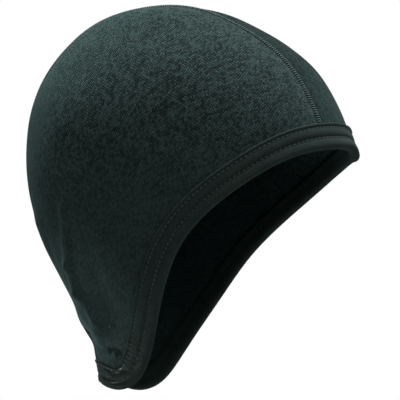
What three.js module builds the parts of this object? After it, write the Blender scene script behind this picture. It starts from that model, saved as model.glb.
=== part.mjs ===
// Helmet liner cap: a close knit cap that covers the brow, the ears and the nape.
// Two side panels meet a long centre strip, and a folded binding runs round the whole edge.
// Millimetres, +Z up. The wearer faces -Y, and the wearer's right is -X.
// The origin is the inside of the crown, where the cap sits on the top of the head.
import * as THREE from 'three';

// The hollow that the head fills
const HOLLOW_LENGTH = 195;
const HOLLOW_WIDTH = 150;
const HOLLOW_HEIGHT = 219;

// The knit. The strip starts to narrow at a share of its way from the brow to the nape.
const KNIT_THICKNESS = 1.8;
const SEAM_GAP = 0.3;
const STRIP_WIDTH = 56;
const NAPE_STRIP_WIDTH = 24;
const STRIP_NARROWS_FROM = 0.45;

// The binding, folded over the cut edge of the knit
const BINDING_WIDTH = 14.5;
const BINDING_INSIDE_WIDTH = 12;
const BINDING_THICKNESS = 1.2;
const BINDING_GAP = 0.45;
const STITCH_ROW_SPACING = 5.8;
const LOWER_STITCH_HEIGHT = 6.6;
const CLOTH_EDGE_HEIGHT = 3;

// Level sections of the hollow, from the crown down.
// drop is a share of the height, front and back are reaches as shares of the length, half is half
// the section's width as a share of the width, and square tells how square its back half is
// (2 is an ellipse).
const SECTIONS = [
  { drop: 0.02, front: 0.153, back: 0.17, half: 0.25, square: 2.2 },
  { drop: 0.085, front: 0.302, back: 0.302, half: 0.365, square: 2.2 },
  { drop: 0.19, front: 0.434, back: 0.398, half: 0.455, square: 2.2 },
  { drop: 0.33, front: 0.515, back: 0.444, half: 0.502, square: 2.2 },
  { drop: 0.48, front: 0.546, back: 0.443, half: 0.47, square: 2.2 },
  { drop: 0.63, front: 0.5, back: 0.39, half: 0.41, square: 2.3 },
  { drop: 0.78, front: 0.468, back: 0.312, half: 0.3, square: 2.6 },
  { drop: 0.9, front: 0.42, back: 0.266, half: 0.18, square: 3 },
  { drop: 1, front: 0.372, back: 0.246, half: 0.12, square: 3.2 },
  { drop: 1.1, front: 0.34, back: 0.225, half: 0.1, square: 3.2 },
];
const FRONT_SQUARE = 2;

// The finished edge seen from the side: how far behind the crown it lies, as a share of the length,
// and its drop as a share of the height
const EDGE = [
  { behind: -0.544, drop: 0.42 },
  { behind: -0.5, drop: 0.43 },
  { behind: -0.42, drop: 0.457 },
  { behind: -0.35, drop: 0.491 },
  { behind: -0.266, drop: 0.538 },
  { behind: -0.174, drop: 0.6 },
  { behind: -0.1, drop: 0.67 },
  { behind: -0.036, drop: 0.76 },
  { behind: 0.024, drop: 0.86 },
  { behind: 0.09, drop: 0.965 },
  { behind: 0.15, drop: 1.006 },
  { behind: 0.205, drop: 1.006 },
  { behind: 0.25, drop: 0.986 },
];

// Soft folds above the nape, mirrored left and right. Each runs between two places on the knit,
// given as an angle round from the brow and a drop. width is a share of the hollow's length,
// and rise, out when positive, a share of the hollow's width.
const FOLDS = [
  { fromAngle: 150, fromDrop: 0.56, toAngle: 130, toDrop: 0.84, width: 0.045, rise: 0.013 },
  { fromAngle: 124, fromDrop: 0.58, toAngle: 110, toDrop: 0.82, width: 0.05, rise: -0.013 },
  { fromAngle: 180, fromDrop: 0.875, toAngle: 132, toDrop: 0.882, width: 0.03, rise: -0.014 },
  { fromAngle: 180, fromDrop: 0.8, toAngle: 140, toDrop: 0.81, width: 0.04, rise: 0.01 },
];

// How finely the surfaces are divided
const STRIP_STEPS_ALONG = 54;
const STRIP_STEPS_ACROSS = 8;
const PANEL_STEPS_ALONG = 46;
const PANEL_STEPS_DOWN = 16;
const BINDING_STEPS = 124;
const NAPE_CLOSENESS = 0.35;
const PANEL_CLOSING = 0.4;
const STRIP_CLOSING = 0.25;

// A middle point inside the hollow that sees every part of the wall
const MIDDLE = new THREE.Vector3(0, 0, -0.43 * HOLLOW_HEIGHT);
const FARTHEST = HOLLOW_LENGTH + HOLLOW_HEIGHT;
const HALVINGS = 36;
const RIGHT = -1;
const LEFT = 1;

// The angles between which the edge comes away from the centre line, at the brow and at the nape
const BROW_SIDE = [0, 60];
const NAPE_SIDE = [180, 80];
const EDGE_STEP = 0.5;

// A smooth curve through a short table: a natural cubic spline.
function smoothThrough(places, values) {
  const count = places.length;
  const bend = new Array(count).fill(0);
  const carry = new Array(count).fill(0);
  for (let i = 1; i < count - 1; i += 1) {
    const before = places[i] - places[i - 1];
    const after = places[i + 1] - places[i];
    const turn = (values[i + 1] - values[i]) / after - (values[i] - values[i - 1]) / before;
    const weight = 2 * (before + after) - before * carry[i - 1];
    carry[i] = after / weight;
    bend[i] = (6 * turn - before * bend[i - 1]) / weight;
  }
  for (let i = count - 2; i > 0; i -= 1) {
    bend[i] -= carry[i] * bend[i + 1];
  }
  return (place) => {
    let i = 1;
    while (i < count - 1 && place > places[i]) {
      i += 1;
    }
    const step = places[i] - places[i - 1];
    const a = (places[i] - place) / step;
    const b = 1 - a;
    const sag = ((a ** 3 - a) * bend[i - 1] + (b ** 3 - b) * bend[i]) * step ** 2 / 6;
    return a * values[i - 1] + b * values[i] + sag;
  };
}

// A reach goes as the root of the drop near the crown, so its table is read against that root
// and repeated upside down past the crown, which makes the crown round.
const roots = SECTIONS.map((row) => Math.sqrt(row.drop));

function reachCurve(column, size) {
  const reaches = SECTIONS.map((row) => row[column] * size);
  const mirroredRoots = roots.slice(0, 3).reverse().map((root) => -root);
  const mirroredReaches = reaches.slice(0, 3).reverse().map((reach) => -reach);
  return smoothThrough([...mirroredRoots, 0, ...roots], [...mirroredReaches, 0, ...reaches]);
}

const frontReach = reachCurve('front', HOLLOW_LENGTH);
const backReach = reachCurve('back', HOLLOW_LENGTH);
const halfWidth = reachCurve('half', HOLLOW_WIDTH);
const backSquare = smoothThrough(roots, SECTIONS.map((row) => row.square));
const edgeDropBehind = smoothThrough(EDGE.map((row) => row.behind), EDGE.map((row) => row.drop));

// The level section at a drop: its reach and squareness ahead of the crown or behind it
function sectionAt(drop, isAhead) {
  const root = Math.sqrt(drop);
  return {
    reach: isAhead ? frontReach(root) : backReach(root),
    half: halfWidth(root),
    square: isAhead ? FRONT_SQUARE : backSquare(root),
  };
}

// A point of the plain hollow on one level section. The angle runs from the brow, 0, to the nape, 180.
function sectionPoint(angle, drop, side) {
  const turn = THREE.MathUtils.degToRad(angle);
  const ahead = Math.cos(turn);
  const { reach, half, square } = sectionAt(drop, ahead > 0);
  const x = side * half * Math.abs(Math.sin(turn)) ** (2 / square);
  const y = -Math.sign(ahead) * reach * Math.abs(ahead) ** (2 / square);
  return new THREE.Vector3(x, y, -drop * HOLLOW_HEIGHT);
}

function isInside(point) {
  if (point.z >= 0) {
    return false;
  }
  const { reach, half, square } = sectionAt(-point.z / HOLLOW_HEIGHT, point.y < 0);
  return Math.abs(point.x / half) ** square + Math.abs(point.y / reach) ** square < 1;
}

// The point of the finished edge at an angle round the sections
function edgePoint(angle, side) {
  let above = EDGE[0].drop / 2;
  let below = SECTIONS.at(-1).drop;
  for (let halving = 0; halving < HALVINGS; halving += 1) {
    const middle = (above + below) / 2;
    if (middle < edgeDropBehind(sectionPoint(angle, middle, side).y / HOLLOW_LENGTH)) {
      above = middle;
    } else {
      below = middle;
    }
  }
  return sectionPoint(angle, above, side);
}

// Where a straight line from the start leaves the plain hollow
function leave(start, direction) {
  let near = 0;
  let far = FARTHEST;
  const point = new THREE.Vector3();
  for (let halving = 0; halving < HALVINGS; halving += 1) {
    const middle = (near + far) / 2;
    point.copy(start).addScaledVector(direction, middle);
    if (isInside(point)) {
      near = middle;
    } else {
      far = middle;
    }
  }
  return point;
}

// The outward normal of the plain hollow, from four neighbours seen from the middle point
function normalTowards(direction) {
  const nudge = 0.004;
  const helper = Math.abs(direction.x) > 0.8 ? new THREE.Vector3(0, 1, 0) : new THREE.Vector3(1, 0, 0);
  const u = helper.clone().cross(direction).normalize();
  const v = direction.clone().cross(u);
  const neighbour = (axis, sign) => {
    const turned = direction.clone().addScaledVector(axis, sign * nudge).normalize();
    return leave(MIDDLE, turned);
  };
  const alongU = neighbour(u, 1).sub(neighbour(u, -1));
  const alongV = neighbour(v, 1).sub(neighbour(v, -1));
  return alongU.cross(alongV).normalize();
}

const foldLines = FOLDS.map((fold) => ({
  line: new THREE.Line3(
    sectionPoint(fold.fromAngle, fold.fromDrop, RIGHT),
    sectionPoint(fold.toAngle, fold.toDrop, RIGHT),
  ),
  width: fold.width * HOLLOW_LENGTH,
  rise: fold.rise * HOLLOW_WIDTH,
}));

// How far the folds push the knit out at a point
function foldRise(point) {
  const mirrored = new THREE.Vector3(-Math.abs(point.x), point.y, point.z);
  const nearest = new THREE.Vector3();
  let rise = 0;
  for (const fold of foldLines) {
    fold.line.closestPointToPoint(mirrored, true, nearest);
    const away = nearest.distanceTo(mirrored) / fold.width;
    rise += fold.rise * Math.exp(-away * away);
  }
  return rise;
}

// The inner face of the knit towards a place: its point and its outward normal
function knitTowards(place) {
  const direction = place.clone().sub(MIDDLE).normalize();
  const normal = normalTowards(direction);
  const point = leave(MIDDLE, direction);
  point.addScaledVector(normal, foldRise(point));
  return { point, normal };
}

// A place on the knit, the given height in from the finished edge. Past the brow or the nape the
// edge goes on along the other side.
function edgePlace(angle, side, height) {
  const here = edgePoint(angle, side);
  const ahead = edgePoint(angle + EDGE_STEP, side);
  const behind = edgePoint(Math.abs(angle - EDGE_STEP), side);
  if (angle < EDGE_STEP) {
    behind.x = -behind.x;
  }
  if (angle + EDGE_STEP > 180) {
    ahead.x = -ahead.x;
  }
  const inwards = ahead.sub(behind).cross(normalTowards(here.clone().sub(MIDDLE).normalize()));
  inwards.multiplyScalar(Math.sign(inwards.z)).normalize();
  return here.addScaledVector(inwards, height);
}

// The angle between two limits where the cut edge of the knit lies at a distance from the centre line
function angleAcross(across, low, high) {
  let near = low;
  let far = high;
  for (let halving = 0; halving < HALVINGS; halving += 1) {
    const middle = (near + far) / 2;
    const edge = edgePlace(middle, LEFT, CLOTH_EDGE_HEIGHT);
    if (edge.x < across) {
      near = middle;
    } else {
      far = middle;
    }
  }
  return (near + far) / 2;
}

// The angle of a place about the middle point, seen from the side: 0 at the brow, 90 at the crown
function sideAngle(place) {
  const angle = Math.atan2(place.z - MIDDLE.z, -(place.y - MIDDLE.y));
  return angle < -Math.PI / 2 ? angle + 2 * Math.PI : angle;
}

// The strip keeps its width over the crown and narrows towards the nape.
function stripHalf(along) {
  const narrowing = THREE.MathUtils.smoothstep(along, STRIP_NARROWS_FROM, 1);
  return THREE.MathUtils.lerp(STRIP_WIDTH, NAPE_STRIP_WIDTH, narrowing) / 2;
}

// Places along one line of the strip or its seam, from the brow to the nape. across is a share of the
// strip's half width, and the gap widens the line for the panels' side of the seam.
function stripLine(across, side, gap) {
  const browAcross = across * stripHalf(0) + gap;
  const napeAcross = across * stripHalf(1) + gap;
  const brow = edgePlace(angleAcross(browAcross, ...BROW_SIDE), side, CLOTH_EDGE_HEIGHT);
  const nape = edgePlace(angleAcross(napeAcross, ...NAPE_SIDE), side, CLOTH_EDGE_HEIGHT);
  return (along) => {
    const angle = THREE.MathUtils.lerp(sideAngle(brow), sideAngle(nape), along);
    const x = side * (across * stripHalf(along) + gap);
    const start = new THREE.Vector3(x, MIDDLE.y, MIDDLE.z);
    return leave(start, new THREE.Vector3(0, -Math.cos(angle), Math.sin(angle)));
  };
}

// Shares of a path of angles, from 0 to 1, in steps that are nearly even in length and somewhat
// closer where the path turns sharply at the nape
function spreadShares(path, steps) {
  const samples = 6 * steps;
  const lengths = [0];
  for (let i = 1; i <= samples; i += 1) {
    lengths.push(lengths[i - 1] + path(i / samples).distanceTo(path((i - 1) / samples)));
  }
  const shares = [];
  let i = 1;
  for (let step = 0; step <= steps; step += 1) {
    const wanted = (lengths[samples] * step) / steps;
    while (i < samples && lengths[i] < wanted) {
      i += 1;
    }
    const part = (wanted - lengths[i - 1]) / (lengths[i] - lengths[i - 1]);
    const even = (i - 1 + Math.min(part, 1)) / samples;
    shares.push(THREE.MathUtils.lerp(even, step / steps, NAPE_CLOSENESS));
  }
  return shares;
}

// The cut edge of a side panel, from the brow corner to the nape corner
function panelEdge(side) {
  const first = angleAcross(stripHalf(0) + SEAM_GAP, ...BROW_SIDE);
  const last = angleAcross(stripHalf(1) + SEAM_GAP, ...NAPE_SIDE);
  const path = (share) => edgePlace(THREE.MathUtils.lerp(first, last, share), side, CLOTH_EDGE_HEIGHT);
  return spreadShares(path, PANEL_STEPS_ALONG).map(path);
}

// A place turned a share of the way from one place to another, about the middle point
function turnBetween(from, to, share) {
  const start = from.clone().sub(MIDDLE).normalize();
  const end = to.clone().sub(MIDDLE).normalize();
  const angle = start.angleTo(end);
  if (angle < 1e-6) {
    return from.clone();
  }
  start.multiplyScalar(Math.sin((1 - share) * angle));
  return start.addScaledVector(end, Math.sin(share * angle)).add(MIDDLE);
}

// Closed meshes are collected as points and triangles. Points that coincide are one point.
class Skin {
  constructor() {
    this.coordinates = [];
    this.triangles = [];
    this.known = new Map();
  }

  add(point) {
    const key = point.toArray().map((value) => Math.round(value * 1000)).join();
    if (!this.known.has(key)) {
      this.known.set(key, this.coordinates.length / 3);
      this.coordinates.push(...point.toArray());
    }
    return this.known.get(key);
  }

  triangle(a, b, c) {
    if (a !== b && b !== c && c !== a) {
      this.triangles.push(a, b, c);
    }
  }

  quad(a, b, c, d) {
    this.triangle(a, b, c);
    this.triangle(a, c, d);
  }

  mesh(name, colour) {
    const geometry = new THREE.BufferGeometry();
    geometry.setAttribute('position', new THREE.Float32BufferAttribute(this.coordinates, 3));
    geometry.setIndex(this.triangles);
    geometry.computeVertexNormals();
    const material = new THREE.MeshStandardMaterial({ color: colour, roughness: 0.95, metalness: 0 });
    const mesh = new THREE.Mesh(geometry, material);
    mesh.name = name;
    return mesh;
  }
}

// A wall of knit over a grid of places, with its edges closed. flip turns the mirrored panel right way out.
function knitWall(name, grid, flip, colour) {
  const skin = new Skin();
  const inner = [];
  const outer = [];
  for (const row of grid) {
    const faces = row.map(knitTowards);
    inner.push(faces.map(({ point }) => skin.add(point)));
    outer.push(faces.map(({ point, normal }) => skin.add(point.addScaledVector(normal, KNIT_THICKNESS))));
  }
  const quad = (a, b, c, d) => (flip ? skin.quad(a, d, c, b) : skin.quad(a, b, c, d));
  const last = grid.length - 1;
  const end = grid[0].length - 1;
  for (let i = 0; i < last; i += 1) {
    for (let j = 0; j < end; j += 1) {
      quad(outer[i][j], outer[i][j + 1], outer[i + 1][j + 1], outer[i + 1][j]);
      quad(inner[i][j], inner[i + 1][j], inner[i + 1][j + 1], inner[i][j + 1]);
    }
    quad(inner[i][0], outer[i][0], outer[i + 1][0], inner[i + 1][0]);
    quad(outer[i][end], inner[i][end], inner[i + 1][end], outer[i + 1][end]);
  }
  for (let j = 0; j < end; j += 1) {
    quad(outer[0][j], inner[0][j], inner[0][j + 1], outer[0][j + 1]);
    quad(inner[last][j], outer[last][j], outer[last][j + 1], inner[last][j + 1]);
  }
  return skin.mesh(name, colour);
}

// Evenly spaced shares from 0 to 1
function sharesOf(steps) {
  return Array.from({ length: steps + 1 }, (_, i) => i / steps);
}

// Shares from 0 to 1 in steps that grow closer towards 1
function closingSharesOf(steps, closing) {
  return sharesOf(steps).map((share) => share * (1 + closing - closing * share));
}

// A side panel hangs from its seam down to its cut edge, and comes to a corner at brow and nape.
function sidePanel(name, side) {
  const seam = stripLine(1, side, SEAM_GAP);
  const grid = panelEdge(side).map((place, i) => {
    const isCorner = i === 0 || i === PANEL_STEPS_ALONG;
    const top = isCorner ? place : seam(i / PANEL_STEPS_ALONG);
    return closingSharesOf(PANEL_STEPS_DOWN, PANEL_CLOSING).map((share) => turnBetween(top, place, share));
  });
  return knitWall(name, grid, side === RIGHT, '#26332f');
}

function crownStrip() {
  const lines = sharesOf(STRIP_STEPS_ACROSS).map((share) => {
    const across = 2 * share - 1;
    return stripLine(Math.abs(across), across < 0 ? RIGHT : LEFT, 0);
  });
  const shares = closingSharesOf(STRIP_STEPS_ALONG, STRIP_CLOSING);
  const grid = shares.map((share) => lines.map((line) => line(share)));
  return knitWall('crown_strip', grid, false, '#2b3835');
}

// The binding's section: height in from the fold, and how far out of the knit's inner face it lies.
// It goes down the outside, round the fold, up the inside and back round the cut edge.
function bindingSection() {
  const outside = KNIT_THICKNESS + BINDING_GAP;
  const upperStitch = LOWER_STITCH_HEIGHT + STITCH_ROW_SPACING;
  const band = outside + BINDING_THICKNESS;
  const sunk = outside + 0.6 * BINDING_THICKNESS;
  const puffed = outside + 1.6 * BINDING_THICKNESS;
  const inside = -BINDING_GAP;
  const lining = inside - BINDING_THICKNESS;
  const edgeClearance = CLOTH_EDGE_HEIGHT - BINDING_GAP;
  return [
    { height: BINDING_WIDTH, out: outside },
    { height: BINDING_WIDTH, out: band },
    { height: upperStitch, out: sunk },
    { height: upperStitch - band + sunk, out: band },
    { height: LOWER_STITCH_HEIGHT + band - sunk, out: band },
    { height: LOWER_STITCH_HEIGHT, out: sunk },
    { height: 0.75 * LOWER_STITCH_HEIGHT, out: band + 0.3 * BINDING_THICKNESS },
    { height: 0.4 * LOWER_STITCH_HEIGHT, out: puffed },
    { height: 0.1 * LOWER_STITCH_HEIGHT, out: band - 0.2 * BINDING_THICKNESS },
    { height: 0, out: KNIT_THICKNESS / 2 },
    { height: 0.14 * LOWER_STITCH_HEIGHT, out: lining },
    { height: BINDING_INSIDE_WIDTH, out: lining },
    { height: BINDING_INSIDE_WIDTH, out: inside },
    { height: edgeClearance, out: inside },
    { height: edgeClearance, out: outside },
  ];
}

// Stops round the finished edge, from the brow down the right side to the nape and back up the left
function bindingStops() {
  const path = (share) => edgePoint(180 * share, RIGHT);
  const angles = spreadShares(path, BINDING_STEPS / 2).map((share) => 180 * share);
  const right = angles.map((angle) => ({ angle, side: RIGHT }));
  const left = angles.slice(1, -1).reverse().map((angle) => ({ angle, side: LEFT }));
  return [...right, ...left];
}

function edgeBinding() {
  const skin = new Skin();
  const section = bindingSection();
  const rings = bindingStops().map(({ angle, side }) => section.map(({ height, out }) => {
    const { point, normal } = knitTowards(edgePlace(angle, side, height));
    return skin.add(point.addScaledVector(normal, out));
  }));
  rings.forEach((ring, i) => {
    const next = rings[(i + 1) % rings.length];
    for (let j = 0; j < section.length; j += 1) {
      const k = (j + 1) % section.length;
      skin.quad(ring[j], next[j], next[k], ring[k]);
    }
  });
  return skin.mesh('edge_binding', '#2e3835');
}

const cap = new THREE.Group();
cap.name = 'helmet_liner_cap';
cap.add(sidePanel('side_panel_right', RIGHT));
cap.add(sidePanel('side_panel_left', LEFT));
cap.add(crownStrip());
cap.add(edgeBinding());

export default cap;
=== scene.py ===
import math

import bpy
import numpy as np
from mathutils import Matrix, Vector


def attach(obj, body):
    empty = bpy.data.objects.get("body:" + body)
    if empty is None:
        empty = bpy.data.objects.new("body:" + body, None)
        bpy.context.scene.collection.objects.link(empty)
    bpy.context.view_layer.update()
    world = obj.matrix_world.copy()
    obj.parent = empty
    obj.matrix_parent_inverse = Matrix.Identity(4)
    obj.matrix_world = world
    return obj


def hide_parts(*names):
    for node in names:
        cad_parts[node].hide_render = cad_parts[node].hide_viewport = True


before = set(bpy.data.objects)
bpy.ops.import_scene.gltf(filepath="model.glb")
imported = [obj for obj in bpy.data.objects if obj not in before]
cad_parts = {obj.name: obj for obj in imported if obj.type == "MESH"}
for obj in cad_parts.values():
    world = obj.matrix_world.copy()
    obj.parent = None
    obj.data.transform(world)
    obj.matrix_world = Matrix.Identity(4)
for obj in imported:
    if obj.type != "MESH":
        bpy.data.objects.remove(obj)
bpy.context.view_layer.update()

MM = 0.001

# The view of the photograph
VIEW_TARGET = Vector((0, 0, -0.1102))
VIEW_DISTANCE = 1.1
VIEW_TURN = 20
VIEW_RISE = -7
VIEW_ROLL = 2.5
VIEW_LENS = 167.3
VIEW_SHIFT = (0.055, -0.004)
FLOOR_HEIGHT = -1.2

# The hollow that the head fills
HOLLOW_LENGTH = 0.195
HOLLOW_WIDTH = 0.150
HOLLOW_HEIGHT = 0.219

# The knit, and the strip over the crown. The strip narrows from a share of its way to the nape.
KNIT_THICKNESS = 1.8 * MM
EDGE_ROUNDING = 0.9 * MM
SEAM_ROUNDING = 0.15 * MM
STRIP_WIDTH = 56 * MM
NAPE_STRIP_WIDTH = 24 * MM
STRIP_NARROWS_FROM = 0.45
CLOTH_EDGE_HEIGHT = 3 * MM

# The ridge of a crown seam, and how the knit is drawn in beside it
SEAM_CREST = 0.75 * MM
SEAM_CREST_REACH = 1.1 * MM
SEAM_DRAWN = 0.3 * MM
SEAM_DRAWN_AWAY = 2.9 * MM
SEAM_DRAWN_REACH = 1.3 * MM
INNER_LIP = 0.3
FULL_LIP_HEIGHT = 10 * MM

# Where the cloth's waviness and its nape folds fade in beside seams and the covered edge
COVERED_EDGE = 12 * MM
SLACK_FADE = 12 * MM
NAPE_FOLDS_FADE = 9 * MM

# The needle rows of the binding, and the ladder of thread over each crown seam
LOWER_STITCH_HEIGHT = 6.6 * MM
UPPER_STITCH_HEIGHT = 12.5 * MM
STITCH_PITCH = 3 * MM
STITCH_LENGTH = 2.3 * MM
LOWER_STITCH_OUT = 2.5 * MM
UPPER_STITCH_OUT = 2.55 * MM
THREAD_RADIUS = 0.3 * MM
RUNG_PITCH = 1.4 * MM
RUNG_REACH = 1.5 * MM
RUNG_HEIGHT = 0.9 * MM
RUNG_RADIUS = 0.26 * MM
RUNG_SINK = 0.1 * MM
RUNG_LEAN = 0.12
RUNGS_LEFT_OUT = 6

# Level sections of the hollow from the crown down: drop as a share of the height, front and back
# reaches as shares of the length, half the width as a share of the width, and how square the back is
SECTIONS = [
    # drop, front, back, half, square
    (0.02, 0.153, 0.17, 0.25, 2.2),
    (0.085, 0.302, 0.302, 0.365, 2.2),
    (0.19, 0.434, 0.398, 0.455, 2.2),
    (0.33, 0.515, 0.444, 0.502, 2.2),
    (0.48, 0.546, 0.443, 0.47, 2.2),
    (0.63, 0.5, 0.39, 0.41, 2.3),
    (0.78, 0.468, 0.312, 0.3, 2.6),
    (0.9, 0.42, 0.266, 0.18, 3),
    (1, 0.372, 0.246, 0.12, 3.2),
    (1.1, 0.34, 0.225, 0.1, 3.2),
]
FRONT_SQUARE = 2

# The finished edge seen from the side: how far behind the crown, and its drop
EDGE = [
    # behind, drop
    (-0.544, 0.42),
    (-0.5, 0.43),
    (-0.42, 0.457),
    (-0.35, 0.491),
    (-0.266, 0.538),
    (-0.174, 0.6),
    (-0.1, 0.67),
    (-0.036, 0.76),
    (0.024, 0.86),
    (0.09, 0.965),
    (0.15, 1.006),
    (0.205, 1.006),
    (0.25, 0.986),
]

# Soft folds above the nape, mirrored left and right, as in the solids
FOLDS = [
    # from angle, from drop, to angle, to drop, width, rise
    (150, 0.56, 130, 0.84, 0.045, 0.013),
    (124, 0.58, 110, 0.82, 0.05, -0.013),
    (180, 0.875, 132, 0.882, 0.03, -0.014),
    (180, 0.8, 140, 0.81, 0.04, 0.01),
]

# Finer folds of the knit over the nape, seen in the cloth only
NAPE_FOLDS = [
    # from angle, from drop, to angle, to drop, width, rise
    (123, 0.54, 134, 0.68, 0.017, 0.012),
    (134, 0.68, 136, 0.75, 0.017, 0.012),
    (136, 0.75, 126, 0.82, 0.017, 0.012),
    (126, 0.82, 137, 0.88, 0.02, 0.014),
    (112, 0.58, 116, 0.76, 0.035, -0.008),
    (145, 0.62, 150, 0.8, 0.022, -0.008),
    (114, 0.84, 122, 0.9, 0.02, -0.006),
    (180, 0.9, 122, 0.915, 0.016, 0.012),
    (176, 0.94, 118, 0.95, 0.012, -0.01),
    (150, 0.845, 166, 0.855, 0.012, -0.007),
]

# The binding's section in millimetres: height in from the fold, and how far out of the inside
BINDING_SECTION = [
    # height, out
    (14.4, 1.85),
    (14.95, 2.4),
    (14.7, 3.35),
    (14, 3.65),
    (13.4, 3.15),
    (12.6, 2.15),
    (11.8, 2.95),
    (10.8, 3.35),
    (9.4, 3.45),
    (8.2, 3.35),
    (7.4, 2.95),
    (6.6, 2),
    (5.9, 3.05),
    (5.1, 3.75),
    (4.3, 3.8),
    (3.2, 4.15),
    (2.1, 4.1),
    (1.1, 3.5),
    (0.3, 2.4),
    (0, 0.9),
    (0.3, -0.6),
    (1.2, -1.45),
    (3, -1.65),
    (5.4, -1.6),
    (6.6, -1.35),
    (8, -1.6),
    (11, -1.6),
    (12.1, -1.25),
    (12.2, -0.6),
    (11, -0.2),
    (6, -0.2),
    (2.9, -0.1),
    (2.6, 0.9),
    (2.9, 1.95),
    (6, 2),
    (11, 1.95),
]

# The same face where the binding is slack, how far it is pressed there, and from which drop
SLACK_FACE = [
    # height, out
    (0, 1),
    (2, 3.7),
    (14.9, 3.1),
]
SLACK_PRESS = 0.65
SLACK_FROM_DROP = 0.6
SLACK_OVER_DROP = 0.3
FACE_OUT = 2 * MM
FACE_HEIGHT = 1.1 * MM

# The binding's small puckers between stitches, and its slow unevenness
PUCKER = 0.22 * MM
NEEDLE_REACH = 1.6 * MM
UNEVEN = 0.12 * MM
UNEVEN_LENGTH = 21 * MM
UNEVEN_HEIGHT = 2 * MM

# The sag of the brow: its depth and middle, how far it reaches, and the height that it starts below
BROW_SAG = 3.2 * MM
BROW_SAG_PLACE = (0.016, -0.107)
BROW_SAG_REACH = (0.012, 0.018)
BROW_SAG_BELOW = -0.07
BROW_SAG_FADE = 0.02

MIDDLE = np.array([0, 0, -0.43 * HOLLOW_HEIGHT])
HALVINGS = 34
RIGHT = -1
LEFT = 1
MIRROR = np.array([-1, 1, 1])


def smooth_through(places, values):
    """A natural cubic spline through a short table."""
    places, values = np.array(places, float), np.array(values, float)
    count = len(places)
    bend, carry = np.zeros(count), np.zeros(count)
    for i in range(1, count - 1):
        before, after = places[i] - places[i - 1], places[i + 1] - places[i]
        turn = (values[i + 1] - values[i]) / after - (values[i] - values[i - 1]) / before
        weight = 2 * (before + after) - before * carry[i - 1]
        carry[i] = after / weight
        bend[i] = (6 * turn - before * bend[i - 1]) / weight
    for i in range(count - 2, 0, -1):
        bend[i] -= carry[i] * bend[i + 1]

    def curve(place):
        i = np.clip(np.searchsorted(places, place), 1, count - 1)
        step = places[i] - places[i - 1]
        a = (places[i] - place) / step
        b = 1 - a
        sag = ((a**3 - a) * bend[i - 1] + (b**3 - b) * bend[i]) * step**2 / 6
        return a * values[i - 1] + b * values[i] + sag

    return curve


# A reach goes as the root of the drop near the crown, so its table is read against that root and
# repeated upside down past the crown.
drops, fronts, backs, halves, squares = np.array(SECTIONS, float).T
roots = np.sqrt(drops)


def reach_curve(column, size):
    reaches = column * size
    return smooth_through(
        np.concatenate([-roots[2::-1], [0], roots]),
        np.concatenate([-reaches[2::-1], [0], reaches]),
    )


front_reach = reach_curve(fronts, HOLLOW_LENGTH)
back_reach = reach_curve(backs, HOLLOW_LENGTH)
half_width = reach_curve(halves, HOLLOW_WIDTH)
back_square = smooth_through(roots, squares)
edge_drop_behind = smooth_through(*np.array(EDGE, float).T)


def section_at(drop, is_ahead):
    """Reach, half width and squareness of the level section at a drop."""
    root = np.sqrt(np.maximum(drop, 1e-7))
    reach = np.where(is_ahead, front_reach(root), back_reach(root))
    square = np.where(is_ahead, FRONT_SQUARE, back_square(root))
    return reach, half_width(root), square


def section_point(angle, drop, side):
    """A point of the plain hollow; the angle runs from the brow, 0, to the nape, 180."""
    turn = np.radians(angle)
    ahead = np.cos(turn)
    reach, half, square = section_at(drop, ahead > 0)
    x = side * half * np.abs(np.sin(turn)) ** (2 / square)
    y = -np.sign(ahead) * reach * np.abs(ahead) ** (2 / square)
    return np.stack([x, y, -drop * HOLLOW_HEIGHT + 0 * x], -1)


def is_inside(points):
    x, y, z = np.moveaxis(points, -1, 0)
    reach, half, square = section_at(-z / HOLLOW_HEIGHT, y < 0)
    return (z < 0) & (np.abs(x / half) ** square + np.abs(y / reach) ** square < 1)


def edge_point(angle, side):
    """The point of the finished edge at an angle round the sections."""
    above = np.full(np.shape(angle), EDGE[0][1] / 2)
    below = np.full(np.shape(angle), SECTIONS[-1][0])
    for _ in range(HALVINGS):
        middle = (above + below) / 2
        behind = section_point(angle, middle, side)[..., 1] / HOLLOW_LENGTH
        is_above = middle < edge_drop_behind(behind)
        above = np.where(is_above, middle, above)
        below = np.where(is_above, below, middle)
    return section_point(angle, above, side)


def leave(start, direction):
    """Where straight lines from the start leave the plain hollow."""
    near = np.zeros(direction.shape[:-1])
    far = np.full(direction.shape[:-1], HOLLOW_LENGTH + HOLLOW_HEIGHT)
    for _ in range(HALVINGS):
        middle = (near + far) / 2
        inside = is_inside(start + direction * middle[..., None])
        near = np.where(inside, middle, near)
        far = np.where(inside, far, middle)
    return start + direction * near[..., None]


def unit(vectors):
    return vectors / np.maximum(np.linalg.norm(vectors, axis=-1, keepdims=True), 1e-12)


def normal_towards(direction):
    """The outward normal of the plain hollow, from four neighbours seen from the middle point."""
    nudge = 0.004
    is_sideways = np.abs(direction[..., :1]) > 0.8
    helper = np.where(is_sideways, np.array([0.0, 1, 0]), np.array([1.0, 0, 0]))
    u = unit(np.cross(helper, direction))
    v = np.cross(direction, u)

    def across(axis):
        ahead = leave(MIDDLE, unit(direction + nudge * axis))
        return ahead - leave(MIDDLE, unit(direction - nudge * axis))

    return unit(np.cross(across(u), across(v)))


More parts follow.
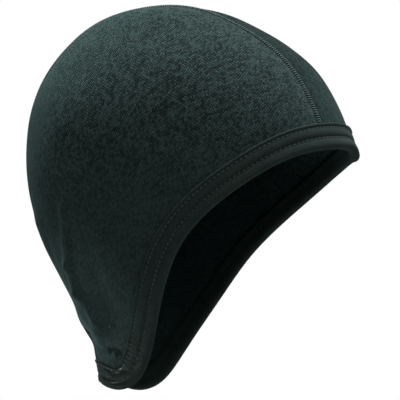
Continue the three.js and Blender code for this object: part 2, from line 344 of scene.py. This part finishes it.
def fold_rise(points, folds=FOLDS):
    """How far the folds push the knit out."""
    mirrored = np.stack([-np.abs(points[..., 0]), points[..., 1], points[..., 2]], -1)
    rise = np.zeros(points.shape[:-1])
    for from_angle, from_drop, to_angle, to_drop, width, height in folds:
        start = section_point(np.array(from_angle), np.array(from_drop), RIGHT)
        line = section_point(np.array(to_angle), np.array(to_drop), RIGHT) - start
        share = np.clip((mirrored - start) @ line / (line @ line), 0, 1)
        nearest = start + share[..., None] * line
        away = np.linalg.norm(mirrored - nearest, axis=-1) / (width * HOLLOW_LENGTH)
        rise += height * HOLLOW_WIDTH * np.exp(-away * away)
    return rise


def knit_towards(places):
    """The inner face of the knit towards some places, and its outward normals."""
    direction = unit(places - MIDDLE)
    normal = normal_towards(direction)
    point = leave(MIDDLE, direction)
    return point + normal * fold_rise(point)[..., None], normal


def edge_places(angle, side, height):
    """Places on the knit at heights in from the finished edge."""
    step = 0.5
    here = edge_point(angle, side)
    ahead = edge_point(angle + step, side)
    behind = edge_point(np.abs(angle - step), side)
    behind[..., 0] *= np.where(angle < step, -1, 1)
    ahead[..., 0] *= np.where(angle + step > 180, -1, 1)
    inwards = np.cross(ahead - behind, normal_towards(unit(here - MIDDLE)))
    inwards = unit(inwards * np.sign(inwards[..., 2:]))
    return here + inwards * height


def angle_across(across, low, high):
    """The angle between two limits where the cut edge lies at a distance from the centre line."""
    near, far = np.full(np.shape(across), float(low)), np.full(np.shape(across), float(high))
    for _ in range(HALVINGS):
        middle = (near + far) / 2
        is_short = edge_places(middle, LEFT, CLOTH_EDGE_HEIGHT)[..., 0] < across
        near = np.where(is_short, middle, near)
        far = np.where(is_short, far, middle)
    return (near + far) / 2


def side_angle(place):
    """The angle about the middle point seen from the side: 0 at the brow, 90 at the crown."""
    angle = np.arctan2(place[..., 2] - MIDDLE[2], MIDDLE[1] - place[..., 1])
    return np.where(angle < -math.pi / 2, angle + 2 * math.pi, angle)


def strip_half(along):
    share = np.clip((along - STRIP_NARROWS_FROM) / (1 - STRIP_NARROWS_FROM), 0, 1)
    narrowing = share * share * (3 - 2 * share)
    return (STRIP_WIDTH + (NAPE_STRIP_WIDTH - STRIP_WIDTH) * narrowing) / 2


def strip_places(along, across, side):
    """Places of the strip: along from the brow, 0, to the nape, 1, and across as a share of the
    strip's half width."""
    across = np.broadcast_to(across, np.broadcast(along, across).shape[-1:])
    brow = edge_places(angle_across(across * strip_half(0.0), 0, 60), side, CLOTH_EDGE_HEIGHT)
    nape = edge_places(angle_across(across * strip_half(1.0), 180, 80), side, CLOTH_EDGE_HEIGHT)
    angle = side_angle(brow) + (side_angle(nape) - side_angle(brow)) * along
    x = side * across * strip_half(along)
    start = np.stack([x, 0 * x + MIDDLE[1], 0 * x + MIDDLE[2]], -1)
    direction = np.stack([0 * angle, -np.cos(angle), np.sin(angle)], -1)
    return leave(start, direction)


def even_shares(path, steps, samples=2000):
    """Shares of a path, from 0 to 1, in steps of even length."""
    fine = np.linspace(0, 1, samples + 1)
    lengths = np.linalg.norm(np.diff(path(fine), axis=0), axis=-1)
    travelled = np.concatenate([[0], np.cumsum(lengths)])
    return np.interp(np.linspace(0, travelled[-1], steps + 1), travelled, fine)


def turn_between(start, end, share):
    """Places turned a share of the way from one place to another, about the middle point."""
    a, b = unit(start - MIDDLE), unit(end - MIDDLE)
    angle = np.arccos(np.clip((a * b).sum(-1, keepdims=True), -1, 1))
    sine = np.maximum(np.sin(angle), 1e-9)
    turned = (a * np.sin((1 - share) * angle) + b * np.sin(share * angle)) / sine
    return np.where(angle < 1e-6, a, turned) + MIDDLE


def travelled_along(points, axis):
    """Lengths travelled along a grid's rows or columns."""
    steps = np.linalg.norm(np.diff(points, axis=axis), axis=-1)
    start = np.zeros_like(np.take(steps, [0], axis))
    return np.concatenate([start, np.cumsum(steps, axis=axis)], axis)


# How the cloth is shaped between its surfaces


def rounding(distance, reach):
    """From 0 at a cut edge to 1 where the knit has its full thickness, at its reach."""
    short = 1 - np.clip(distance / reach, 0, 1)
    return np.sqrt(np.maximum(1 - short * short, 0))


def seam_lip(distance):
    """The knit stands up at the seam and is drawn in a little beside it."""
    crest = SEAM_CREST * np.exp(-((distance / SEAM_CREST_REACH) ** 2))
    drawn = SEAM_DRAWN * np.exp(-(((distance - SEAM_DRAWN_AWAY) / SEAM_DRAWN_REACH) ** 2))
    return crest - drawn


def sagged(points):
    """The brow hangs a little lower just left of its middle, on all its pieces alike."""
    x, y, z = np.moveaxis(points, -1, 0)
    across = (x - BROW_SAG_PLACE[0]) / BROW_SAG_REACH[0]
    ahead = (y - BROW_SAG_PLACE[1]) / BROW_SAG_REACH[1]
    low = np.clip((BROW_SAG_BELOW - z) / BROW_SAG_FADE, 0, 1)
    drop = BROW_SAG * low * np.exp(-(across**2) - ahead**2)
    return points - np.stack([0 * x, 0 * x, drop], -1)


def slack(points, seed):
    """A slow, shallow waviness of cloth that isn't stretched tight."""
    waves = [
        # direction, length, height
        ((0.1, 0.9, 0.4), 0.061, 0.22),
        ((0.3, -0.5, 0.8), 0.043, 0.16),
        ((-0.2, 0.7, 0.7), 0.029, 0.08),
        ((0.9, 0.2, -0.4), 0.037, 0.1),
    ]
    rise = 0
    for i, (direction, length, height) in enumerate(waves):
        phase = points @ unit(np.array(direction)) / length * 2 * math.pi
        rise = rise + height * MM * np.sin(phase + 1.7 * i + seed)
    return rise


def knit_faces(inner, normals, body, lip, wave):
    """The wall's inner and outer face. They meet where body is 0 and lie apart where it is 1."""
    middle = KNIT_THICKNESS / 2
    outer_rise = middle + middle * body + lip * (INNER_LIP + (1 - INNER_LIP) * body) + wave
    inner_rise = middle - middle * body + lip * INNER_LIP + wave
    return inner + normals * inner_rise[..., None], inner + normals * outer_rise[..., None]


# Meshes


def cloth_mesh(name, points, quads, flat, material):
    """A piece from its points and quads. flat gives the cloth's own place of each corner, in metres."""
    mesh = bpy.data.meshes.new(name)
    mesh.from_pydata(sagged(points).tolist(), [], quads.tolist())
    layer = mesh.uv_layers.new(name="cloth")
    layer.data.foreach_set("uv", flat.astype(np.float32).ravel())
    piece = bpy.data.objects.new(name, mesh)
    bpy.context.collection.objects.link(piece)
    mesh.materials.append(material)
    select_only(piece)
    bpy.ops.object.mode_set(mode="EDIT")
    bpy.ops.mesh.select_all(action="SELECT")
    bpy.ops.mesh.remove_doubles(threshold=2e-6)
    bpy.ops.object.mode_set(mode="OBJECT")
    bpy.ops.object.shade_smooth()
    return piece


def select_only(piece):
    bpy.ops.object.select_all(action="DESELECT")
    piece.select_set(True)
    bpy.context.view_layer.objects.active = piece


def wall_of_knit(name, inner, outer, flat, flip, material):
    """A wall of knit between two grids of points, closed at its edges by its own rounding."""
    rows, columns = inner.shape[:2]
    numbers = np.arange(rows * columns).reshape(rows, columns)
    a, b = numbers[:-1, :-1].ravel(), numbers[:-1, 1:].ravel()
    c, d = numbers[1:, 1:].ravel(), numbers[1:, :-1].ravel()
    under = rows * columns
    quads = np.concatenate(
        [np.stack([a, b, c, d], -1), np.stack([a, d, c, b], -1) + under]
    )
    if flip:
        quads = quads[:, ::-1]
    places = np.concatenate([flat.reshape(-1, 2)] * 2)[quads]
    points = np.concatenate([outer.reshape(-1, 3), inner.reshape(-1, 3)])
    return cloth_mesh(name, points, quads, places, material)


CLOTH_TURNS = 144
CLOTH_TILTS = 130
CLOTH_TILT = 2.6


def side_cloth(points):
    """The cloth's own places for a side panel, laid flat round the middle of the side: points keep
    their way from there and their real distance from it."""
    turns = np.linspace(-math.pi, math.pi, CLOTH_TURNS + 1)
    tilts = np.linspace(0, CLOTH_TILT, CLOTH_TILTS + 1)
    tilt, turn = np.meshgrid(tilts, turns, indexing="ij")
    direction = np.stack(
        [-np.cos(tilt), -np.sin(tilt) * np.cos(turn), np.sin(tilt) * np.sin(turn)], -1
    )
    lengths = travelled_along(leave(MIDDLE, direction), 0)
    way = unit(points - MIDDLE)
    tilt = np.arccos(np.clip(-way[..., 0], -1, 1))
    turn = np.arctan2(way[..., 2], -way[..., 1])
    row = np.clip(tilt / CLOTH_TILT * CLOTH_TILTS, 0, CLOTH_TILTS - 0.001)
    column = np.clip((turn / math.pi + 1) / 2 * CLOTH_TURNS, 0, CLOTH_TURNS - 0.001)
    i, j = row.astype(int), column.astype(int)
    down, over = row - i, column - j
    near = lengths[i, j] * (1 - over) + lengths[i, j + 1] * over
    far = lengths[i + 1, j] * (1 - over) + lengths[i + 1, j + 1] * over
    length = near * (1 - down) + far * down
    return np.stack([length * np.cos(turn), length * np.sin(turn)], -1)


# How finely the cloth is divided. Its rows crowd beside seams and cut edges.
SEAM_ZONE = 3.6 * MM
SEAM_ZONE_SHARE = 0.25
EDGE_ZONE = 1.2 * MM
EDGE_ZONE_SHARE = 0.1
CROWDING = 1.3
PANEL_ALONG = 290
PANEL_SEAM_ROWS = 9
PANEL_DOWN = 120
PANEL_EDGE_ROWS = 4
PANEL_TRIES = 60


def panel_depths(height):
    """Distances down a panel from its seam, crowded beside the seam and the cut edge."""
    near = np.minimum(SEAM_ZONE, SEAM_ZONE_SHARE * height)[:, None]
    end = np.minimum(EDGE_ZONE, EDGE_ZONE_SHARE * height)[:, None]
    height = height[:, None]
    rows = PANEL_DOWN - PANEL_SEAM_ROWS - PANEL_EDGE_ROWS
    first = near * (np.arange(PANEL_SEAM_ROWS) / PANEL_SEAM_ROWS) ** CROWDING
    middle = near + (height - near - end) * np.arange(rows) / rows
    last = height - end * (1 - np.arange(PANEL_EDGE_ROWS + 1) / PANEL_EDGE_ROWS) ** CROWDING
    return np.concatenate([first, middle, last], 1)


def panel_grid():
    """The right panel's inner face, normals, and the distances from its seam and its cut edge."""
    first = angle_across(strip_half(np.array([0.0])), 0, 60)[0]
    last = angle_across(strip_half(np.array([1.0])), 180, 80)[0]

    def edge(share):
        return edge_places(first + (last - first) * share, RIGHT, CLOTH_EDGE_HEIGHT)

    bottom = edge(even_shares(edge, PANEL_ALONG))
    shares = np.linspace(0, 1, PANEL_ALONG + 1)
    top = strip_places(shares[:, None], np.array([1.0]), RIGHT)[:, 0]
    top[0], top[-1] = bottom[0], bottom[-1]
    tries = np.linspace(0, 1, PANEL_TRIES)[None, :, None]
    rough = leave(MIDDLE, unit(turn_between(top[:, None], bottom[:, None], tries) - MIDDLE))
    lengths = travelled_along(rough, 1)
    depths = panel_depths(lengths[:, -1])
    share = np.stack(
        [np.interp(d, way, tries[0, :, 0]) for d, way in zip(depths, lengths)]
    )
    places = turn_between(top[:, None], bottom[:, None], share[..., None])
    inner, normals = knit_towards(places)
    return inner, normals, depths, depths[:, -1:] - depths


def side_panels(material):
    inner, normals, from_seam, from_edge = panel_grid()
    height = from_seam[:, -1:]
    full = np.clip(height / FULL_LIP_HEIGHT, 0, 1)
    body = rounding(from_seam, SEAM_ROUNDING) * rounding(from_edge, EDGE_ROUNDING)
    lip = seam_lip(from_seam) * full
    flat = side_cloth(inner)
    away = np.clip(np.minimum(from_seam, from_edge - COVERED_EDGE) / SLACK_FADE, 0, 1)
    nape = fold_rise(inner, NAPE_FOLDS) * np.clip(from_seam / NAPE_FOLDS_FADE, 0, 1)
    panels = []
    for name, side, node in (
        ("panel_right", RIGHT, "side_panel_right"),
        ("panel_left", LEFT, "side_panel_left"),
    ):
        wave = slack(inner, 0.4 if side == RIGHT else 2.9) * away + nape
        turn = np.ones(3) if side == RIGHT else MIRROR
        inside, outside = (face * turn for face in knit_faces(inner, normals, body, lip, wave))
        panel = wall_of_knit(name, inside, outside, flat, side == RIGHT, material)
        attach(panel, "root")
        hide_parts(node)
        panels.append(panel)
    return panels


STRIP_ALONG = 330
STRIP_SEAM_ROWS = 9
STRIP_MIDDLE_ROWS = 26


def crown_strip(material):
    near = SEAM_ZONE * (np.arange(STRIP_SEAM_ROWS) / STRIP_SEAM_ROWS) ** CROWDING
    edge = -1 + near / (STRIP_WIDTH / 2)
    start = -1 + SEAM_ZONE / (STRIP_WIDTH / 2)
    across = np.concatenate([edge, np.linspace(start, 0, STRIP_MIDDLE_ROWS // 2 + 1)])
    along = np.linspace(0, 1, STRIP_ALONG + 1)[:, None]
    right = strip_places(along, -across, RIGHT)
    places = np.concatenate([right, right[:, -2::-1] * MIRROR], 1)
    inner, normals = knit_towards(places)
    crossed = travelled_along(inner, 1)
    from_side = np.minimum(crossed, crossed[:, -1:] - crossed)
    travelled = travelled_along(inner, 0)
    from_end = np.minimum(travelled, travelled[-1:] - travelled)
    body = rounding(from_side, SEAM_ROUNDING) * rounding(from_end, EDGE_ROUNDING)
    away = np.clip(np.minimum(from_side, from_end - COVERED_EDGE) / SLACK_FADE, 0, 1)
    wave = slack(inner, 5.1) * away
    inside, outside = knit_faces(inner, normals, body, seam_lip(from_side), wave)
    centre = inner.shape[1] // 2
    flat = np.stack(
        [crossed - crossed[:, centre : centre + 1], 0 * crossed + travelled[:, centre : centre + 1]],
        -1,
    )
    strip = wall_of_knit("strip", inside, outside, flat, False, material)
    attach(strip, "root")
    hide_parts("crown_strip")
    return strip


BINDING_STOPS = 1280
BINDING_ROUND = 52


def round_the_edge(height, stops):
    """Evenly spaced points and normals round the finished edge at heights in from it, from the brow
    down the right side, past the nape and up the left."""
    right = 180 * even_shares(lambda share: edge_point(180 * share, RIGHT), stops // 2)
    places = edge_places(right[:, None], RIGHT, height[None, :, None])
    inner, normals = knit_towards(places)
    return (
        np.concatenate([inner, inner[-2:0:-1] * MIRROR]),
        np.concatenate([normals, normals[-2:0:-1] * MIRROR]),
    )


def binding_profile():
    """The section as a smooth closed line through its table, in even steps."""
    table = np.array(BINDING_SECTION) * MM
    closed = np.concatenate([table[-3:], table, table[:4]])
    steps = np.linalg.norm(np.diff(closed, axis=0), axis=-1)
    travelled = np.concatenate([[0], np.cumsum(steps)])
    heights = smooth_through(travelled, closed[:, 0])
    outs = smooth_through(travelled, closed[:, 1])
    start, end = travelled[3], travelled[3 + len(table)]
    fine = np.linspace(start, end, BINDING_ROUND + 1)[:-1]
    return heights(fine), outs(fine), fine - start, end - start


def softened(heights, outs):
    """The section where the cloth is slack: its grooves and ridges are mostly pressed flat."""
    slack_heights, slack_outs = np.array(SLACK_FACE).T * MM
    even = np.interp(heights, slack_heights, slack_outs)
    is_face = (outs > FACE_OUT) & (heights > FACE_HEIGHT)
    return np.where(is_face, (1 - SLACK_PRESS) * outs + SLACK_PRESS * even, outs)


def edge_binding(material):
    heights, outs, travelled, girth = binding_profile()
    inner, normals = round_the_edge(heights, BINDING_STOPS)
    way = np.linalg.norm(np.roll(inner[:, 0], -1, 0) - inner[:, 0], axis=-1)
    length = np.concatenate([[0], np.cumsum(way)])
    between = np.sin(math.pi * length[:-1, None] / STITCH_PITCH) ** 2
    lower = np.exp(-(((heights - LOWER_STITCH_HEIGHT) / NEEDLE_REACH) ** 2))
    upper = np.exp(-(((heights - UPPER_STITCH_HEIGHT) / NEEDLE_REACH) ** 2))
    pucker = PUCKER * (between - 0.5) * (lower + upper) * np.sign(outs)
    uneven = UNEVEN * np.sin(length[:-1, None] / UNEVEN_LENGTH + heights / UNEVEN_HEIGHT)
    drop = -inner[:, :1, 2] / HOLLOW_HEIGHT
    soft = np.clip((drop - SLACK_FROM_DROP) / SLACK_OVER_DROP, 0, 1)
    outs = outs + soft * (softened(heights, outs) - outs)
    nape = fold_rise(inner, NAPE_FOLDS) * (outs > 0)
    points = inner + normals * (outs + pucker + nape + uneven * (outs > FACE_OUT))[..., None]
    stops, count = points.shape[:2]
    numbers = np.arange(stops * count).reshape(stops, count)
    ahead = np.roll(numbers, -1, 0)
    quads = np.stack(
        [numbers, ahead, np.roll(ahead, -1, 1), np.roll(numbers, -1, 1)], -1
    ).reshape(-1, 4)
    round_here = np.concatenate([travelled, [girth]])
    u, v = np.meshgrid(length, round_here, indexing="ij")
    flat = np.stack([u, v], -1)
    places = np.stack([flat[:-1, :-1], flat[1:, :-1], flat[1:, 1:], flat[:-1, 1:]], 2)
    binding = cloth_mesh("binding", points.reshape(-1, 3), quads, places.reshape(-1, 4, 2), material)
    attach(binding, "root")
    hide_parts("edge_binding")
    return binding


# Threads


def laid_stitch(length):
    """One stitch of thread that dips into the cloth at both ends."""
    bpy.ops.object.select_all(action="DESELECT")
    bpy.ops.mesh.primitive_uv_sphere_add(segments=8, ring_count=8, radius=1)
    stitch = bpy.context.object
    stitch.rotation_euler = (0, math.pi / 2, 0)
    bpy.ops.object.transform_apply(location=False, rotation=True, scale=False)
    stitch.scale = (length / 2, THREAD_RADIUS, THREAD_RADIUS)
    bpy.ops.object.transform_apply(location=False, rotation=False, scale=True)
    bpy.ops.object.shade_smooth()
    return stitch


def arched_rung():
    """One rung of thread over a seam's ridge: half a ring, pressed down."""
    bpy.ops.object.select_all(action="DESELECT")
    bpy.ops.mesh.primitive_torus_add(
        major_segments=20,
        minor_segments=6,
        major_radius=RUNG_REACH,
        minor_radius=RUNG_RADIUS,
        rotation=(math.pi / 2, 0, 0),
    )
    rung = bpy.context.object
    bpy.ops.object.transform_apply(location=False, rotation=True, scale=False)
    bpy.ops.object.mode_set(mode="EDIT")
    bpy.ops.mesh.select_all(action="SELECT")
    bpy.ops.mesh.bisect(plane_co=(0, 0, 0), plane_no=(0, 0, -1), clear_outer=True, use_fill=True)
    bpy.ops.object.mode_set(mode="OBJECT")
    rung.scale = (1, 1, RUNG_HEIGHT / RUNG_REACH)
    bpy.ops.object.transform_apply(location=False, rotation=False, scale=True)
    bpy.ops.object.shade_smooth()
    return rung


def row_of(stitch, name, points, normals, ways, slot, material):
    """Copies of one stitch at points, each along its way and standing on its normal, joined."""
    copies = []
    for point, normal, way in zip(points, normals, ways):
        side = np.cross(normal, way)
        turn = Matrix(np.stack([way, side, normal], -1).tolist()).to_4x4()
        turn.translation = Vector(sagged(point))
        piece = stitch.copy()
        piece.data = stitch.data.copy()
        piece.data.transform(turn)
        bpy.context.collection.objects.link(piece)
        copies.append(piece)
    bpy.data.objects.remove(stitch)
    bpy.ops.object.select_all(action="DESELECT")
    for piece in copies:
        piece.select_set(True)
    bpy.context.view_layer.objects.active = copies[0]
    bpy.ops.object.join()
    row = bpy.context.object
    row.name = row.data.name = name
    row.data.materials.clear()
    row.data.materials.append(material)
    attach(row, "root")
    return row


def spaced(points, normals, pitch, closed):
    """Points, normals and ways at an even pitch along a line of points."""
    if closed:
        points, normals = (np.concatenate([a, a[:1]]) for a in (points, normals))
    way = np.concatenate([[0], np.cumsum(np.linalg.norm(np.diff(points, axis=0), axis=-1))])
    count = round(way[-1] / pitch)
    at = (np.arange(count) + 0.5) * way[-1] / count
    laid = np.stack([np.interp(at, way, column) for column in points.T], -1)
    up = unit(np.stack([np.interp(at, way, column) for column in normals.T], -1))
    near = np.stack([np.interp(at - 0.2 * pitch, way, column) for column in points.T], -1)
    far = np.stack([np.interp(at + 0.2 * pitch, way, column) for column in points.T], -1)
    along = unit(far - near)
    along = unit(along - up * (along * up).sum(-1, keepdims=True))
    return laid, up, along


NEEDLE_LINE_STOPS = 640
SEAM_LINE_STOPS = 300


def binding_stitches(material):
    rows = []
    for name, height, out in (
        ("stitches_lower", LOWER_STITCH_HEIGHT, LOWER_STITCH_OUT),
        ("stitches_upper", UPPER_STITCH_HEIGHT, UPPER_STITCH_OUT),
    ):
        inner, normals = round_the_edge(np.array([height]), NEEDLE_LINE_STOPS)
        out = out + fold_rise(inner, NAPE_FOLDS)
        points = inner[:, 0] + normals[:, 0] * out
        laid = spaced(points, normals[:, 0], STITCH_PITCH, True)
        rows.append(row_of(laid_stitch(STITCH_LENGTH), name, *laid, "binding_knit", material))
    return rows


def seam_stitches(material):
    rows = []
    along = np.linspace(0, 1, SEAM_LINE_STOPS + 1)[:, None]
    right, normals = knit_towards(strip_places(along, np.array([1.0]), RIGHT)[:, 0])
    for name, turn in (("seam_stitches_right", np.ones(3)), ("seam_stitches_left", MIRROR)):
        up = normals * turn
        points = right * turn + up * (KNIT_THICKNESS - RUNG_SINK)
        laid, up, way = spaced(points, up, RUNG_PITCH, False)
        keep = slice(RUNGS_LEFT_OUT, -RUNGS_LEFT_OUT)
        across = unit(np.cross(up, way) + RUNG_LEAN * way)
        rows.append(
            row_of(arched_rung(), name, laid[keep], up[keep], across[keep], "strip_knit", material)
        )
    return rows


# Materials

# Scales of noise in the knit, per metre: its fuzz, flecks, clouds of tone and drift of stitches
FUZZ_SCALE = 2400
FLECK_SCALE = 1400
CLOUD_SCALE = 120
DRIFT_SCALE = 260

# How far stitches drift across and along, as shares of their size, and how much a row rises to a vee
DRIFT_ACROSS = 0.9
DRIFT_ALONG = -1.1
VEE_RISE = 1.1

# The knit's tone between its dark and light, and what each kind of unevenness adds to it. The loops add
# painted shade in the gaps between stitches and a painted highlight on their legs.
MIDDLE_TONE = 0.35
PAINTED_LOOP_SHADING = 0.55
FLECK_TONE = 1.5
CLOUD_TONE = 0.7

# Heights between which the knit goes from slack to stretched tight
SLACK_HEIGHT = -0.12
TIGHT_HEIGHT = -0.025


def add_node(tree, kind, inputs=None, **settings):
    node = tree.nodes.new(kind)
    for name, value in settings.items():
        setattr(node, name, value)
    for key, value in (inputs or {}).items():
        if isinstance(value, bpy.types.NodeSocket):
            tree.links.new(value, node.inputs[key])
        else:
            node.inputs[key].default_value = value
    return node


def calculate(tree, operation, *values):
    node = add_node(tree, "ShaderNodeMath", dict(enumerate(values)), operation=operation)
    return node.outputs[0]


def blend_colours(tree, share, low, high):
    node = add_node(tree, "ShaderNodeMix", {0: share, 6: low, 7: high}, data_type="RGBA")
    return node.outputs[2]


def noise(tree, place, scale, detail=3, roughness=0.6):
    inputs = {"Vector": place, "Scale": scale, "Detail": detail, "Roughness": roughness}
    return add_node(tree, "ShaderNodeTexNoise", inputs).outputs["Fac"]


def knit_material(
    name, dark, light, turn, wale, course, marl, spread, slack_contrast, sheen, depth
):
    """A marled knit. turn is the way of its wales on the cloth, in degrees, wale and course are the
    width and height of a stitch in metres, marl is how much its stitches differ in tone, and spread
    how wide its tones go. Where the cloth is slack, low on the cap, less of that shows."""
    material = bpy.data.materials.new(name)
    material.use_nodes = True
    tree = material.node_tree
    shader = tree.nodes["Principled BSDF"]

    def add(*values):
        return calculate(tree, "ADD", *values)

    def times(*values):
        return calculate(tree, "MULTIPLY", *values)

    def wave(value):
        return calculate(tree, "ABSOLUTE", calculate(tree, "SINE", times(value, math.pi)))

    body = add_node(tree, "ShaderNodeTexCoord").outputs["Object"]
    fuzz = noise(tree, body, FUZZ_SCALE, 3, 0.7)
    fleck = noise(tree, body, FLECK_SCALE, 4, 0.75)
    cloud = noise(tree, body, CLOUD_SCALE, 3, 0.6)

    place = add_node(tree, "ShaderNodeUVMap", uv_map="cloth").outputs[0]
    way = (0, 0, math.radians(turn))
    turned = add_node(tree, "ShaderNodeMapping", {0: place, 2: way}).outputs[0]
    drift = add(noise(tree, turned, DRIFT_SCALE, 3), -0.5)
    split = add_node(tree, "ShaderNodeSeparateXYZ", {0: turned})
    column = times(add(split.outputs[0], times(drift, DRIFT_ACROSS * wale)), 1 / wale)
    vee = times(calculate(tree, "PINGPONG", column, 0.5), VEE_RISE)
    drifted = add(split.outputs[1], times(drift, DRIFT_ALONG * course))
    row = add(times(drifted, 1 / course), vee)
    leg = times(column, 2)
    loops = times(wave(leg), add(times(wave(row), 0.6), 0.4))
    cell = add_node(
        tree,
        "ShaderNodeCombineXYZ",
        {0: calculate(tree, "FLOOR", leg), 1: calculate(tree, "FLOOR", row)},
    ).outputs[0]
    chance = add_node(tree, "ShaderNodeTexWhiteNoise", {"Vector": cell}).outputs["Value"]

    height_here = add_node(tree, "ShaderNodeSeparateXYZ", {0: body}).outputs[2]
    opened = {0: height_here, 1: SLACK_HEIGHT, 2: TIGHT_HEIGHT, 3: slack_contrast, 4: 1.0}
    contrast = add_node(tree, "ShaderNodeMapRange", opened).outputs[0]
    height = times(loops, add(times(chance, 0.5), 0.7))
    height = times(add(height, times(fuzz, 0.35)), contrast)
    # The loops' tone is painted shade in the gaps between stitches and a painted highlight on their
    # raised legs
    tone = add(times(loops, PAINTED_LOOP_SHADING), times(add(chance, -0.5), marl))
    tone = add(tone, times(add(fleck, -0.5), FLECK_TONE))
    tone = add(tone, times(add(cloud, -0.5), CLOUD_TONE))
    tone = add(times(add(tone, -MIDDLE_TONE), contrast), MIDDLE_TONE)
    darkest, lightest = MIDDLE_TONE - 0.5 / spread, MIDDLE_TONE + 0.5 / spread
    ranged = {0: tone, 1: darkest, 2: lightest, 3: 0.0, 4: 1.0}
    share = add_node(tree, "ShaderNodeMapRange", ranged).outputs[0]
    colour = blend_colours(tree, share, (*dark, 1), (*light, 1))
    tree.links.new(colour, shader.inputs["Base Color"])
    raised = {"Strength": 0.9, "Distance": depth, "Height": height}
    bump = add_node(tree, "ShaderNodeBump", raised)
    tree.links.new(bump.outputs[0], shader.inputs["Normal"])
    shader.inputs["Roughness"].default_value = 0.95
    shader.inputs["Specular IOR Level"].default_value = 0.1
    shader.inputs["Sheen Weight"].default_value = sheen
    shader.inputs["Sheen Roughness"].default_value = 0.4
    shader.inputs["Sheen Tint"].default_value = (0.52, 0.9, 0.86, 1)
    return material


def thread_material(name, dark, light):
    """Spun thread, with a fine twist and a soft sheen."""
    material = bpy.data.materials.new(name)
    material.use_nodes = True
    tree = material.node_tree
    shader = tree.nodes["Principled BSDF"]
    body = add_node(tree, "ShaderNodeTexCoord").outputs["Object"]
    fleck = noise(tree, body, 1500, 3)
    colour = blend_colours(tree, fleck, (*dark, 1), (*light, 1))
    tree.links.new(colour, shader.inputs["Base Color"])
    bump = add_node(
        tree,
        "ShaderNodeBump",
        {"Strength": 0.5, "Distance": 0.1 * MM, "Height": noise(tree, body, 4000)},
    )
    tree.links.new(bump.outputs[0], shader.inputs["Normal"])
    shader.inputs["Roughness"].default_value = 0.75
    shader.inputs["Sheen Weight"].default_value = 0.2
    shader.inputs["Sheen Roughness"].default_value = 0.4
    shader.inputs["Sheen Tint"].default_value = (0.6, 0.9, 0.86, 1)
    return material


# Stage


def plain_material(name, colour):
    material = bpy.data.materials.new(name)
    material.use_nodes = True
    shader = material.node_tree.nodes["Principled BSDF"]
    shader.inputs["Base Color"].default_value = (*colour, 1)
    shader.inputs["Roughness"].default_value = 0.9
    return material


def photo_camera():
    turn, rise, roll = (math.radians(a) for a in (VIEW_TURN, VIEW_RISE, VIEW_ROLL))
    back = Vector(
        (-math.cos(turn) * math.cos(rise), -math.sin(turn) * math.cos(rise), math.sin(rise))
    )
    right = Vector((math.sin(turn), -math.cos(turn), 0))
    up = back.cross(right)
    rolled_right = right * math.cos(roll) - up * math.sin(roll)
    rolled_up = right * math.sin(roll) + up * math.cos(roll)
    data = bpy.data.cameras.new("photo_camera")
    data.lens = VIEW_LENS
    data.sensor_width = 36
    data.shift_x, data.shift_y = VIEW_SHIFT
    data.clip_start, data.clip_end = 0.05, 30
    camera = bpy.data.objects.new("photo_camera", data)
    bpy.context.collection.objects.link(camera)
    place = Matrix((rolled_right, rolled_up, back)).transposed().to_4x4()
    place.translation = VIEW_TARGET + back * VIEW_DISTANCE
    camera.matrix_world = place
    bpy.context.scene.camera = camera


def soft_light(name, place, size, power, aim=VIEW_TARGET, spread=180):
    """A square soft light, aimed at the middle of the cap or at another place of it."""
    data = bpy.data.lights.new(name, "AREA")
    data.shape = "SQUARE"
    data.size = size
    data.energy = power
    data.spread = math.radians(spread)
    light = bpy.data.objects.new(name, data)
    light.location = place
    light.rotation_mode = "QUATERNION"
    light.rotation_quaternion = (Vector(place) - aim).to_track_quat("Z", "Y")
    bpy.context.collection.objects.link(light)


def stage():
    scene = bpy.context.scene
    scene.view_settings.view_transform = "Standard"
    bpy.ops.mesh.primitive_plane_add(size=14, location=(0, 0, FLOOR_HEIGHT))
    floor = bpy.context.object
    floor.name = "floor"
    floor.data.materials.append(plain_material("floor_pale", (0.8, 0.8, 0.8)))
    world = bpy.data.worlds.new("pale_surroundings")
    world.use_nodes = True
    tree = world.node_tree
    tree.nodes.clear()
    seen = add_node(tree, "ShaderNodeBackground", {0: (1, 1, 1, 1), 1: 1.0})
    shed = add_node(tree, "ShaderNodeBackground", {0: (0.9, 1, 1, 1), 1: 0.11})
    ray = add_node(tree, "ShaderNodeLightPath").outputs["Is Camera Ray"]
    mixed = add_node(
        tree, "ShaderNodeMixShader", {0: ray, 1: shed.outputs[0], 2: seen.outputs[0]}
    )
    add_node(tree, "ShaderNodeOutputWorld", {0: mixed.outputs[0]})
    scene.world = world
    soft_light("light_above", (0, -0.3, 1.2), 1.5, 50)
    soft_light("light_front", (-1.1, -0.75, 0.55), 0.9, 3.3)
    soft_light("light_on_nape", (-0.65, 0.85, 0.08), 0.09, 0.02, Vector((-0.024, 0.06, -0.195)), 5)


photo_camera()
stage()

panel_knit = knit_material(
    "knit_panels",
    dark=(0.002, 0.0055, 0.005),
    light=(0.036, 0.062, 0.059),
    turn=35,
    wale=2.54 * MM,
    course=1.5 * MM,
    marl=0.65,
    spread=1.7,
    slack_contrast=0.27,
    sheen=0.22,
    depth=0.6 * MM,
)
strip_knit = knit_material(
    "knit_strip",
    dark=(0.0015, 0.005, 0.0045),
    light=(0.013, 0.029, 0.0265),
    turn=0,
    wale=2.2 * MM,
    course=1.5 * MM,
    marl=0.8,
    spread=1.5,
    slack_contrast=0.7,
    sheen=0.1,
    depth=0.4 * MM,
)
binding_knit = knit_material(
    "knit_binding",
    dark=(0.008, 0.013, 0.0115),
    light=(0.029, 0.045, 0.041),
    turn=58,
    wale=1.5 * MM,
    course=1.1 * MM,
    marl=0.25,
    spread=0.9,
    slack_contrast=0.8,
    sheen=0.08,
    depth=0.2 * MM,
)
seam_thread = thread_material("thread_seams", (0.035, 0.06, 0.057), (0.075, 0.122, 0.117))

panels = side_panels(panel_knit)
strip = crown_strip(strip_knit)
binding = edge_binding(binding_knit)
needle_rows = binding_stitches(seam_thread)
ladders = seam_stitches(seam_thread)
